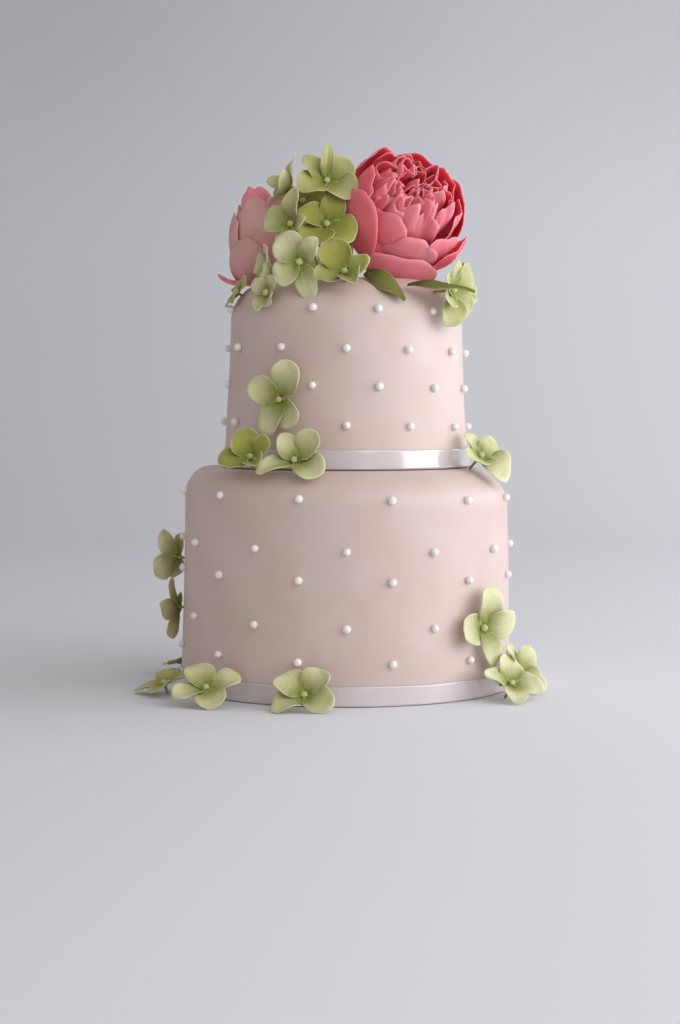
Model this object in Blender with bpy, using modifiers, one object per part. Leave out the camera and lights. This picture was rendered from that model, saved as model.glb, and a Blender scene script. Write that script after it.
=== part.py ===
"""A two-tier wedding cake in rolled icing, with pearls, ribbons, and sugar flowers.

Metres, +Z up. The origin is the centre of the underside. Azimuth 0 faces -Y, the front,
and grows towards +X, the right-hand side.
"""

import math

import bmesh
import bpy
from mathutils import Matrix, Vector

MM = 0.001

# Tiers: base height, top height, radius at the base, radius under the shoulder, shoulder radius
BOTTOM_TIER = (0.0, 137.4 * MM, 104.6 * MM, 102.0 * MM, 21.0 * MM)
TOP_TIER = (137.7 * MM, 254.0 * MM, 77.2 * MM, 73.0 * MM, 26.0 * MM)
TIER_STEPS = 36
SHOULDER_POINTS = 4
SIDE_POINTS = 3
FLARE_POWER = 1.4

# Ribbons round the foot of each tier
RIBBON_WIDTH = 11.6 * MM
RIBBON_THICKNESS = 0.5 * MM
GAP = 0.3 * MM
RIBBON_FOOT = 0.5 * MM

# Pearls: height of each row over the cake's base; every other row is turned by half a pitch,
# and on the left they drift apart
PEARL_RADIUS = 2.6 * MM
PEARL_SINK = 1.1 * MM
PEARLS_IN_ROW = 12
PEARL_DRIFT = 8.0
BOTTOM_ROWS = (121.0 * MM, 91.0 * MM, 73.5 * MM, 46.0 * MM, 25.5 * MM)
TOP_ROWS = (234.0 * MM, 210.5 * MM, 188.0 * MM, 164.5 * MM)
ROW_SLOPE = 0.02
FLOWER_CLEARANCE = 16.0 * MM
HIDDEN_PEARLS = {("top", 2, -45)}

# Four-petalled blossoms, cut from one sheet
PETAL = 17.0 * MM
PETAL_HALF_WIDTH = 7.6 * MM
PETAL_THICKNESS = 0.9 * MM
PETAL_HINGE = 2.2 * MM
PETAL_CUP = 1.8 * MM
PETAL_CURL = 1.6 * MM
BUTTON_RADIUS = 2.2 * MM
BUTTON_HEIGHT = 2.6 * MM
CALYX_RADIUS = 1.7 * MM
CALYX_LENGTH = 2.6 * MM
CALYX_DROP = 0.3 * MM
STEM_RADIUS = 0.9 * MM
STEM_CLEARANCE = 1.0 * MM
STEM_STEP = 0.1 * MM
# Outline of one lobe: angle off the petal's axis and share of the petal's length
LOBE_OUTLINE = ((-45, 0.155), (-33, 0.76), (-14, 0.95), (11, 1.0), (32, 0.78))
MID_SHARE = 0.55
NOTCH_MID = 2.45 * MM

# Blossoms: azimuth, radius, height of the centre (degrees, mm), the way it faces (azimuth,
# elevation), its spin, its size, the lift of its petals, and the foot of its stem (x, y, z)
# in mm where it doesn't run straight back to the icing
TOP = 255.4
BLOSSOMS = {
    "blossom_crown": (-32, 30, 315.5, 12, 30, -13, 1.15, (24, 22, 11, 24), (-9, -5, TOP)),
    "blossom_crown_left": (-69, 31, 312, -45, 45, 0, 1.0, (30, 35, 25, 30), (-14, -14, TOP)),
    "blossom_crown_back": (-150, 22, 313, -150, 50, 20, 1.0, (45, 30, 45, 30), (-5, 12, TOP)),
    "blossom_upper_right": (-17, 41, 287, 0, 18, 8, 1.1, (21, 24, 12, 19), (-8, -20, TOP)),
    "blossom_upper_left": (-39, 55, 286, -15, 17, 21, 1.0, (27, 24, 22, 22), (-20, -26, TOP)),
    "blossom_front_left": (-25, 69.5, 263, -19, 0, -15, 1.25, (20, 14, 19, 12), (-18, -40, TOP)),
    "blossom_front_right": (1, 66, 258, -8, 30, -18, 1.15, (15, 27, 20, 32), None),
    "blossom_side_left": (-52, 62, 265, -84, 8, 20, 1.05, (35, 30, 35, 30), (-34, -30, TOP)),
    "blossom_rim_left": (-46, 75.5, 243, -50, 4, 5, 0.9, (15, 25, 20, 35), None),
    "blossom_rim_far_left": (-74, 70, 247, -76, 34, 10, 0.9, (10, 12, 10, 12), None),
    "blossom_rim_right": (51, 82, 246, 46, -4, -20, 1.1, (20, 10, 65, 15), None),
    "blossom_rim_far_right": (76, 74, 251, 80, 24, 5, 1.0, (25, 20, 15, 20), None),
    "blossom_back": (172, 34, 288, 170, 28, 10, 1.2, (20, 30, 20, 25), (2, 14, TOP)),
    "blossom_back_low": (-160, 62, 262, -160, 22, 30, 1.15, (25, 15, 25, 20), None),
    "blossom_top_side": (-30, 79.5, 180, -27, -2, 12, 1.32, (12, 23, 19, 15), None),
    "blossom_top_right": (112, 79.0, 221, 112, 0, 20, 1.0, (15, 20, 15, 20), None),
    "blossom_ledge_left": (-39, 91, 145, -12, 42, 0, 1.0, (30, 24, 20, 55), None),
    "blossom_ledge_front": (-18, 91, 145, -11, 36, -4, 1.15, (22, 28, 16, 16), None),
    "blossom_ledge_right": (66, 91, 143, 44, 42, 4, 1.05, (24, 22, 22, 14), None),
    "blossom_ledge_back": (160, 91, 145, 160, 40, 10, 1.15, (22, 25, 16, 16), None),
    "blossom_side_upper": (-97, 110, 84, -124, 6, 25, 1.1, (25, 30, 25, 15), None),
    "blossom_side_lower": (-92, 108, 48, -108, 0, 40, 1.15, (22, 25, 20, 20), None),
    "blossom_side_right": (51, 107.5, 43, 43, 4, 34, 1.25, (20, 12, 19, 26), None),
    "blossom_foot_right_back": (64, 121, 7.0, 56, 54, -12, 1.0, (40, 44, 22, 24), None),
    "blossom_foot_right": (52, 126, 7.9, 30, 58, 24, 1.1, (23, 22, 17, 17), None),
    "blossom_foot_front": (-12, 118, 10.5, -10, 50, 6, 1.25, (18, 26, 17, 15), None),
    "blossom_foot_left": (-41, 127, 10.8, -20, 52, -8, 1.3, (8, 25, 19, 15), None),
    "blossom_foot_far_left": (-66, 123, 9.2, -66, 54, 10, 1.1, (20, 22, 14, 20), None),
    "blossom_foot_back_left": (-112, 121, 8.8, -112, 52, 20, 1.0, (20, 20, 15, 18), None),
    "blossom_foot_back": (150, 120, 9.3, 150, 52, 0, 1.15, (20, 22, 14, 20), None),
}

# Peonies: centre (mm), the way they face, and size
LARGE_PEONY = ((38.5, -17.0, 295.5), (38, 38), 1.08)
PALE_PEONY = ((-49.0, 12.0, 282.7), (-100, 52), 0.86)
PEONY_CORE = 23.0 * MM
PEONY_THICKNESS = 1.3 * MM
# How far one edge of a petal lies under its neighbour, and the other edge over the next
PEONY_TUCK = 1.5 * MM
# Rings of petals: count, reach from the centre, span of polar angle, width, ruffle, turn
LARGE_RINGS = (
    (6, 39.0 * MM, (22, 104), 44.0 * MM, 0.0, 10),
    (5, 33.5 * MM, (34, 122), 38.0 * MM, 0.6 * MM, 40),
    (5, 28.5 * MM, (62, 142), 26.0 * MM, 1.6 * MM, 0),
    (3, 26.5 * MM, (100, 168), 20.0 * MM, 1.6 * MM, 25),
)
PALE_RINGS = (
    (5, 38.0 * MM, (22, 112), 46.0 * MM, 0.0, 0),
    (4, 32.5 * MM, (34, 138), 42.0 * MM, 0.5 * MM, 36),
)

# Leaves: base, middle and tip (mm), width, roll of the blade in degrees
LEAVES = {
    "leaf_front": ((13, -55, 256.5), (24, -66, 254), (31, -74, 243.5), 12.0 * MM, 20),
    "leaf_right": ((37, -60, 256.5), (55, -68, 261.5), (78, -68, 255), 9.0 * MM, 30),
    "leaf_back": ((8, 46, 257.5), (15, 60, 257.5), (20, 74, 245.5), 16.0 * MM, 10),
}
LEAF_THICKNESS = 1.0 * MM
LEAF_WAVE = 0.8 * MM

# Colours: red, green, blue, roughness
ICING = (0.71, 0.50, 0.45, 0.62)
SATIN = (0.74, 0.71, 0.76, 0.35)
LIGHT_GREEN = (0.45, 0.52, 0.20, 0.6)
LEAF_GREEN = (0.20, 0.23, 0.06, 0.6)
CORAL = (0.62, 0.07, 0.11, 0.6)
PALE_PINK = (0.70, 0.34, 0.33, 0.6)


def clear_scene():
    for obj in list(bpy.data.objects):
        bpy.data.objects.remove(obj, do_unlink=True)


def new_collection(name):
    collection = bpy.data.collections.new(name)
    bpy.context.scene.collection.children.link(collection)
    return collection


def new_material(name, colour):
    material = bpy.data.materials.new(name)
    material.use_nodes = True
    shader = material.node_tree.nodes["Principled BSDF"]
    shader.inputs["Base Color"].default_value = (*colour[:3], 1.0)
    shader.inputs["Roughness"].default_value = colour[3]
    return material


def new_object(name, mesh, collection, colour=None):
    obj = bpy.data.objects.new(name, mesh)
    collection.objects.link(obj)
    if colour:
        mesh.materials.append(new_material(name, colour))
    return obj


def mesh_from(bm, name):
    mesh = bpy.data.meshes.new(name)
    bm.to_mesh(mesh)
    bm.free()
    return mesh


def around(azimuth, radius, height):
    """The point at this azimuth (degrees), distance from the cake's axis and height."""
    turn = math.radians(azimuth)
    return Vector((radius * math.sin(turn), -radius * math.cos(turn), height))


def facing(azimuth, elevation, spin=0.0):
    """A rotation whose Z looks towards azimuth and elevation, turned by spin about it."""
    az, el = math.radians(azimuth), math.radians(elevation)
    out = Vector((math.sin(az) * math.cos(el), -math.cos(az) * math.cos(el), math.sin(el)))
    right = Vector((math.cos(az), math.sin(az), 0.0))
    frame = Matrix((right, out.cross(right), out)).transposed()
    return frame @ Matrix.Rotation(math.radians(spin), 3, "Z")


# The tiers, with their pearls

def side_radius(tier, height):
    """The radius of the iced side at a height, and how far its face looks upwards."""
    base, top, base_radius, neck_radius, shoulder = tier
    shoulder_base = top - shoulder
    if height > shoulder_base:
        rise = math.asin((height - shoulder_base) / shoulder)
        return neck_radius - shoulder + shoulder * math.cos(rise), rise
    share = 1.0 - (height - base) / (shoulder_base - base)
    return neck_radius + (base_radius - neck_radius) * share**FLARE_POWER, 0.0


def tier_profile(tier):
    """Points down the outer side, from the middle of the top to the middle of the base."""
    base, top, _, neck_radius, shoulder = tier
    points = [(0.0, top)]
    for i in range(SHOULDER_POINTS + 1):
        turn = math.pi / 2 * (1 - i / SHOULDER_POINTS)
        radius = neck_radius - shoulder + shoulder * math.cos(turn)
        points.append((radius, top - shoulder + shoulder * math.sin(turn)))
    for i in range(1, SIDE_POINTS + 1):
        height = (top - shoulder) + (base - top + shoulder) * i / SIDE_POINTS
        points.append((side_radius(tier, height)[0], height))
    return points + [(0.0, base)]


def turned(name, points, collection, closed=False):
    """An object made by turning a profile of (radius, height) about Z."""
    mesh = bpy.data.meshes.new(name)
    edges = [(i, i + 1) for i in range(len(points) - 1)]
    if closed:
        edges.append((len(points) - 1, 0))
    mesh.from_pydata([(r, 0.0, z) for r, z in points], edges, [])
    obj = new_object(name, mesh, collection)
    screw = obj.modifiers.new("turn", "SCREW")
    screw.steps = screw.render_steps = TIER_STEPS
    screw.use_merge_vertices = not closed
    screw.merge_threshold = 1e-5
    return obj


def pearl_places(tier_name, tier, rows, blossom_centres):
    """The centre of each pearl of a tier that no flower covers, and the way it faces."""
    for row, row_height in enumerate(rows):
        for i in range(PEARLS_IN_ROW):
            pitch = 360 // PEARLS_IN_ROW
            azimuth = i * pitch + (pitch // 2 if row % 2 == 0 else 0)
            azimuth = azimuth - 360 if azimuth > 180 else azimuth
            if (tier_name, row, azimuth) in HIDDEN_PEARLS:
                continue
            if azimuth < 0:
                azimuth += PEARL_DRIFT * math.sin(math.radians(azimuth))
            height = row_height - ROW_SLOPE * around(azimuth, tier[2], row_height).x
            radius, rise = side_radius(tier, height)
            proud = PEARL_RADIUS - PEARL_SINK
            place = around(
                azimuth, radius + proud * math.cos(rise), height + proud * math.sin(rise)
            )
            if min((place - centre).length for centre in blossom_centres) > FLOWER_CLEARANCE:
                yield place, facing(azimuth, math.degrees(rise))


def pearl_mesh():
    bm = bmesh.new()
    bmesh.ops.create_icosphere(bm, subdivisions=1, radius=PEARL_RADIUS)
    return mesh_from(bm, "pearl")


def drop_loose_shells(mesh):
    """Keeps the largest shell: a lesser one is a scrap, or the wall of a sealed hollow."""
    bm = bmesh.new()
    bm.from_mesh(mesh)
    shells, seen = [], set()
    for start in bm.verts:
        if start in seen:
            continue
        shell, front = {start}, [start]
        while front:
            for edge in front.pop().link_edges:
                for vertex in edge.verts:
                    if vertex not in shell:
                        shell.add(vertex)
                        front.append(vertex)
        seen |= shell
        shells.append(shell)
    largest = max(shells, key=len)
    loose = [vertex for vertex in bm.verts if vertex not in largest]
    bmesh.ops.delete(bm, geom=loose, context="VERTS")
    bm.to_mesh(mesh)
    bm.free()


def fuse(base, pieces):
    """Joins a collection's objects to base by one union, and removes them."""
    union = base.modifiers.new("fuse", "BOOLEAN")
    union.operation = "UNION"
    union.operand_type = "COLLECTION"
    union.collection = pieces
    union.solver = "MANIFOLD"
    graph = bpy.context.evaluated_depsgraph_get()
    joined = bpy.data.meshes.new_from_object(base.evaluated_get(graph))
    base.modifiers.clear()
    drop_loose_shells(joined)
    base.data = joined
    for piece in list(pieces.objects):
        bpy.data.objects.remove(piece, do_unlink=True)
    bpy.data.collections.remove(pieces)


def make_tier(name, tier, rows, blossom_centres, cake):
    obj = turned(f"tier_{name}", tier_profile(tier), cake)
    pieces = new_collection(f"pearls_{name}")
    pearl = pearl_mesh()
    for i, (place, frame) in enumerate(pearl_places(name, tier, rows, blossom_centres)):
        piece = new_object(f"pearl_{name}_{i}", pearl, pieces)
        piece.location = place
        piece.rotation_euler = frame.to_euler()
    fuse(obj, pieces)
    obj.data.shade_smooth()
    obj.data.set_sharp_from_angle(angle=math.radians(35))
    obj.data.materials.clear()
    obj.data.materials.append(new_material(obj.name, ICING))


def make_ribbon(name, tier, cake):
    foot = tier[0] + RIBBON_FOOT
    head = foot + RIBBON_WIDTH
    inner = [side_radius(tier, z)[0] + GAP for z in (head, foot)]
    outer = [radius + RIBBON_THICKNESS for radius in inner]
    profile = [(outer[0], head), (outer[1], foot), (inner[1], foot), (inner[0], head)]
    obj = turned(name, profile, cake, closed=True)
    obj.data.materials.append(new_material(name, SATIN))


# The four-petalled blossoms

def lobe_point(axis, lift, radius, angle, height):
    """A point of a blossom's sheet, raised by height off the petal's own face."""
    along, across = radius * math.cos(angle), radius * math.sin(angle)
    beyond = max(along - PETAL_HINGE, 0.0)
    tilt = lift * min(beyond / PETAL_HINGE, 1.0)
    height += PETAL_CUP * (across / PETAL_HALF_WIDTH) ** 2
    height -= PETAL_CURL * (along / PETAL) ** 3
    x = along - beyond * (1 - math.cos(lift)) - height * math.sin(tilt)
    z = beyond * math.sin(lift) + height * math.cos(tilt)
    return Vector((
        x * math.cos(axis) - across * math.sin(axis),
        x * math.sin(axis) + across * math.cos(axis),
        z,
    ))


def near_icing(point):
    """Whether a point is within a stem's clearance of the icing or of what the cake stands on."""
    radius = math.hypot(point.x, point.y)
    height = point.z - STEM_CLEARANCE
    if height < 0.0:
        return True
    for tier in (BOTTOM_TIER, TOP_TIER):
        if tier[0] <= height < tier[1]:
            return radius < side_radius(tier, height)[0] + STEM_CLEARANCE
    return False


def stem_length(centre, back):
    """How far a straight stem runs back from a blossom's centre to the icing."""
    length = CALYX_LENGTH
    while not near_icing(centre + back * length):
        length += STEM_STEP
    return length


def blossom_rings(size, lifts, height):
    """The middle and rim rings of one face of the sheet, height above its mid surface."""
    reach = size * PETAL
    middle, rim = [], []
    for lobe, lift in enumerate(lifts):
        axis = math.radians(45 + 90 * lobe)
        for angle, share in LOBE_OUTLINE:
            off = math.radians(angle)
            inner = NOTCH_MID if angle == -45 else MID_SHARE * share * reach
            middle.append(lobe_point(axis, math.radians(lift), inner, off, height))
            rim.append(lobe_point(axis, math.radians(lift), share * reach, off, height))
    return middle, rim


def circle(radius, count, centre):
    return [
        centre + Vector((radius * math.cos(a), radius * math.sin(a), 0.0))
        for a in (2 * math.pi * i / count for i in range(count))
    ]


def bridge(bm, inner, outer):
    """Triangles between two rings of vertices, the outer a whole multiple of the inner."""
    step = len(outer) // len(inner)
    for i, corner in enumerate(inner):
        for k in range(step):
            first = outer[i * step + k]
            second = outer[(i * step + k + 1) % len(outer)]
            bm.faces.new((corner, first, second))
        last = outer[(i * step + step) % len(outer)]
        bm.faces.new((corner, last, inner[(i + 1) % len(inner)]))


def cap(bm, ring, middle):
    for i, corner in enumerate(ring):
        bm.faces.new((corner, ring[(i + 1) % len(ring)], middle))


def blossom_mesh(name, size, lifts, stem_end):
    """One sheet with four petals, a button on its face and a calyx and stem behind it."""
    half = PETAL_THICKNESS / 2
    front_middle, front_rim = blossom_rings(size, lifts, half)
    back_middle, back_rim = blossom_rings(size, lifts, -half)
    bm = bmesh.new()

    def vertices(points):
        return [bm.verts.new(point) for point in points]

    button = vertices(circle(BUTTON_RADIUS, 4, Vector((0, 0, half))))
    calyx = vertices(circle(CALYX_RADIUS, 4, Vector((0, 0, -half - CALYX_DROP))))
    stem = vertices(circle(STEM_RADIUS, 4, stem_end))
    front = [vertices(front_middle), vertices(front_rim)]
    back = [vertices(back_middle), vertices(back_rim)]
    cap(bm, button, bm.verts.new((0, 0, BUTTON_HEIGHT)))
    bridge(bm, button, front[0])
    bridge(bm, front[0], front[1])
    bridge(bm, front[1], back[1])
    bridge(bm, stem, calyx)
    bridge(bm, calyx, back[0])
    bridge(bm, back[0], back[1])
    cap(bm, stem, bm.verts.new(stem_end))
    bmesh.ops.recalc_face_normals(bm, faces=bm.faces)
    return mesh_from(bm, name)


def make_blossom(name, place, cake):
    azimuth, radius, height, face_azimuth, face_elevation, spin, size, lifts, foot = place
    centre = around(azimuth, radius * MM, height * MM)
    frame = facing(face_azimuth, face_elevation, spin)
    if foot:
        stem_end = frame.transposed() @ (Vector(foot) * MM - centre)
    else:
        stem_end = Vector((0, 0, -stem_length(centre, -frame.col[2])))
    obj = new_object(name, blossom_mesh(name, size, lifts, stem_end), cake, LIGHT_GREEN)
    obj.location = centre
    obj.rotation_euler = frame.to_euler()


# The peonies and leaves

def petal_width(share):
    """Half width of a peony petal against its widest, from base (0) to tip (1)."""
    widest = 0.62
    if share < widest:
        return 0.42 + 0.58 * math.sin(math.pi / 2 * share / widest)
    return math.sqrt(1 - ((share - widest) / 0.43) ** 2)


def sheet(bm, rows):
    """Triangles over a grid of points, given as rows of equal length."""
    grid = [[bm.verts.new(point) for point in row] for row in rows]
    for below, above in zip(grid, grid[1:]):
        for i in range(len(below) - 1):
            bm.faces.new((below[i], below[i + 1], above[i + 1]))
            bm.faces.new((below[i], above[i + 1], above[i]))


def solidified(name, bm, collection, thickness, colour=None):
    obj = new_object(name, mesh_from(bm, name), collection, colour)
    wall = obj.modifiers.new("wall", "SOLIDIFY")
    wall.thickness = thickness
    wall.offset = 0.0
    return obj


def peony_petal(bm, turn, reach, span, width, ruffle, rows, columns):
    """One cupped petal, from inside the core out to its reach, round the flower's Z axis."""
    lines = []
    for i in range(rows):
        share = i / (rows - 1)
        line = []
        for k in range(columns):
            across = 2 * k / (columns - 1) - 1
            along = share * (1 - 0.10 * across**2)
            polar = math.radians(span[0] + (span[1] - span[0]) * along)
            radius = PEONY_CORE * 0.85 + (reach - PEONY_CORE * 0.85) * math.sin(
                math.pi / 2 * min(1.6 * along, 1.0)
            )
            radius += ruffle * along * math.cos(2.5 * math.pi * across) + PEONY_TUCK * across
            offset = across * petal_width(along) * width / 2
            swing = turn + offset / (reach * max(math.sin(polar), 0.55))
            ring = radius * math.sin(polar)
            line.append(Vector((
                ring * math.cos(swing), ring * math.sin(swing), -radius * math.cos(polar)
            )))
        lines.append(line)
    sheet(bm, lines)


def make_peony(name, flower, rings, colour, cake):
    centre, face, scale = flower
    bm = bmesh.new()
    bmesh.ops.create_icosphere(bm, subdivisions=2, radius=PEONY_CORE)
    obj = new_object(name, mesh_from(bm, name), cake)
    pieces = new_collection(f"petals_{name}")
    for ring, (count, reach, span, width, ruffle, turn) in enumerate(rings):
        rows, columns = (4, 5) if ring < 2 else (3, 4)
        for i in range(count):
            bm = bmesh.new()
            swing = math.radians(turn + 360 * i / count)
            peony_petal(bm, swing, reach, span, width, ruffle, rows, columns)
            solidified(f"{name}_{ring}_{i}", bm, pieces, PEONY_THICKNESS)
    fuse(obj, pieces)
    obj.data.materials.clear()
    obj.data.materials.append(new_material(name, colour))
    bm = bmesh.new()
    bm.from_mesh(obj.data)
    bmesh.ops.scale(bm, vec=(scale, scale, scale), verts=bm.verts)
    bm.to_mesh(obj.data)
    bm.free()
    obj.location = Vector(centre) * MM
    obj.rotation_euler = facing(*face).to_euler()


def make_leaf(name, leaf, cake):
    """A blade along a curve through three points, arched across and waved at its edges."""
    base, middle, tip, width, roll = leaf
    base, middle, tip = (Vector(point) * MM for point in (base, middle, tip))
    steps, columns = 6, 3
    lines = []
    for i in range(steps + 1):
        t = i / steps
        point = base * (1 - t) ** 2 + middle * 2 * t * (1 - t) + tip * t * t
        run = ((middle - base) * (1 - t) + (tip - middle) * t).normalized()
        side = run.cross(Vector((0, 0, 1))).normalized()
        side = Matrix.Rotation(math.radians(roll), 3, run) @ side
        half = width / 2 * (0.25 + 0.75 * math.sin(math.pi * min(0.15 + 0.8 * t, 1.0)))
        half *= 0.35 if i == steps else 1.0
        face = side.cross(run)
        line = []
        for k in range(columns):
            across = 2 * k / (columns - 1) - 1
            wave = LEAF_WAVE * (abs(across) * math.sin(9 * t + across) - across**2)
            line.append(point + side * across * half + face * wave)
        lines.append(line)
    bm = bmesh.new()
    sheet(bm, lines)
    solidified(name, bm, cake, LEAF_THICKNESS, LEAF_GREEN)


def main():
    clear_scene()
    cake = new_collection("wedding_cake")
    centres = [around(az, r * MM, z * MM) for az, r, z, *_ in BLOSSOMS.values()]
    make_tier("bottom", BOTTOM_TIER, BOTTOM_ROWS, centres, cake)
    make_tier("top", TOP_TIER, TOP_ROWS, centres, cake)
    make_ribbon("ribbon_bottom", BOTTOM_TIER, cake)
    make_ribbon("ribbon_top", TOP_TIER, cake)
    for name, place in BLOSSOMS.items():
        make_blossom(name, place, cake)
    make_peony("peony_large", LARGE_PEONY, LARGE_RINGS, CORAL, cake)
    make_peony("peony_pale", PALE_PEONY, PALE_RINGS, PALE_PINK, cake)
    for name, leaf in LEAVES.items():
        make_leaf(name, leaf, cake)


main()
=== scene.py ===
"""Dresses a two-tier wedding cake: rolled icing, pearls, satin ribbons and sugar flowers.

Metres, +Z up. Azimuth 0 faces -Y, the front, and grows towards +X, the right-hand side.
"""

import math

import bpy
import numpy as np
from bpy.props import FloatProperty, FloatVectorProperty, IntProperty, PointerProperty
from mathutils import Matrix, Vector


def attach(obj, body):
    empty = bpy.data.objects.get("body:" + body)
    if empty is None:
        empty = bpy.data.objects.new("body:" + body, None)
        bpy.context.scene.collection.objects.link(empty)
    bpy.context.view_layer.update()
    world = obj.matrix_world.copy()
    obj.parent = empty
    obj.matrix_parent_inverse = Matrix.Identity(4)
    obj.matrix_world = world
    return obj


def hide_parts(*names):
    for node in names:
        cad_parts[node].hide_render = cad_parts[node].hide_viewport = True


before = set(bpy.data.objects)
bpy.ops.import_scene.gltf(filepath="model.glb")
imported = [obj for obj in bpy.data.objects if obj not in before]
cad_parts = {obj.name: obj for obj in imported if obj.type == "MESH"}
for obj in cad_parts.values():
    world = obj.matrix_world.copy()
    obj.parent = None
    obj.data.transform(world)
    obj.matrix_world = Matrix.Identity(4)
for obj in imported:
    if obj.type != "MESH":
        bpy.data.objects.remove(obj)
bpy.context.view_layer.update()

bl_info = {
    "name": "Wedding Cake",
    "version": (1, 0, 0),
    "blender": (4, 5, 0),
    "location": "3D View > Sidebar > Cake",
    "description": "Icing, pearls, ribbons and sugar flowers for a two-tier wedding cake",
    "category": "Add Mesh",
}

MM = 0.001
BODY = "root"

# Tiers: base height, top height, radius at the base, radius under the shoulder, shoulder radius
BOTTOM_TIER = (0.0, 137.4 * MM, 104.6 * MM, 102.0 * MM, 21.0 * MM)
TOP_TIER = (137.7 * MM, 254.0 * MM, 77.2 * MM, 73.0 * MM, 26.0 * MM)
TIERS = {"bottom": BOTTOM_TIER, "top": TOP_TIER}
FLARE_POWER = 1.4
ICING_STEPS = 288
# The bottom tier's shoulder rises to the left by this share of the way across: not at all within
# the first radius, in full beyond the second, and on the side from this height up
SHOULDER_LEAN = 0.03
LEAN_RADII = (80 * MM, 93 * MM)
LEAN_FROM = 60 * MM

# Ribbons round the foot of each tier. Lap and end are in degrees round the cake
RIBBON_WIDTH = 11.6 * MM
RIBBON_THICKNESS = 0.35 * MM
RIBBON_GAP = 0.35 * MM
RIBBON_FOOT = 0.5 * MM
RIBBON_LAP = 9.0
RIBBON_LAP_GAP = 0.25 * MM
RIBBON_END = 178.0
RIBBON_BUCKLE = 0.12 * MM
RIBBON_WANDER = 0.12 * MM

# Pearls: how deep they sit and the height of each row over the cake's base. Every other row is
# turned by half a pitch. To the right the rows fall by ROW_SLOPE of the way, and on the left the
# pearls stand apart by up to PEARL_DRIFT degrees more
PEARL_SINK = 0.9 * MM
PEARLS_IN_ROW = 12
PEARL_DRIFT = 3.0
PEARL_ROWS = {
    "bottom": (121.0 * MM, 91.0 * MM, 73.5 * MM, 46.0 * MM, 25.5 * MM),
    "top": (234.0 * MM, 210.5 * MM, 188.0 * MM, 164.5 * MM),
}
ROW_SLOPE = 0.02
# No pearl is this near to the middle of a blossom of size 1, or at these tiers, rows and azimuths
FLOWER_CLEARANCE = 14.0 * MM
HIDDEN_PEARLS = {("top", 2, -45)}

# A blossom's petal: its length, half its width, where it hinges, how its sides and its tip bend,
# and how it twists
PETAL = 17.0 * MM
PETAL_HALF_WIDTH = 7.6 * MM
PETAL_HINGE = 2.2 * MM
PETAL_CUP = 1.8 * MM
PETAL_CURL = 1.6 * MM
PETAL_TWIST = 0.13
# The middle of the button over the petals. Behind them the calyx's length, the radii in mm by
# the share of the way down the stem, the step in which a stem's length is sought, and how far
# over the ground it stops
BUTTON_HEIGHT = 1.35 * MM
CALYX_LENGTH = 2.6 * MM
STALK_RADII = ((0, 1.9), (0.06, 1.75), (0.14, 1.2), (0.22, 0.95), (0.6, 0.85), (1, 0.8))
STEM_STEP = 0.1 * MM
STEM_GROUND = 1.0 * MM
# The fan that a petal is shaped from: half its spread, how far its sides fall short of its tip,
# and how late they do. Its grid has rows along and columns across, more where it is frilled
BLOSSOM_FAN = (math.radians(58), 0.58, 2.3)
BLOSSOM_ROWS, BLOSSOM_COLUMNS = 17, 25
PEONY_FAN = (math.radians(48), 0.5, 3.2)
PEONY_ROWS, PEONY_COLUMNS, FRILLED_COLUMNS = 20, 33, 45

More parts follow.
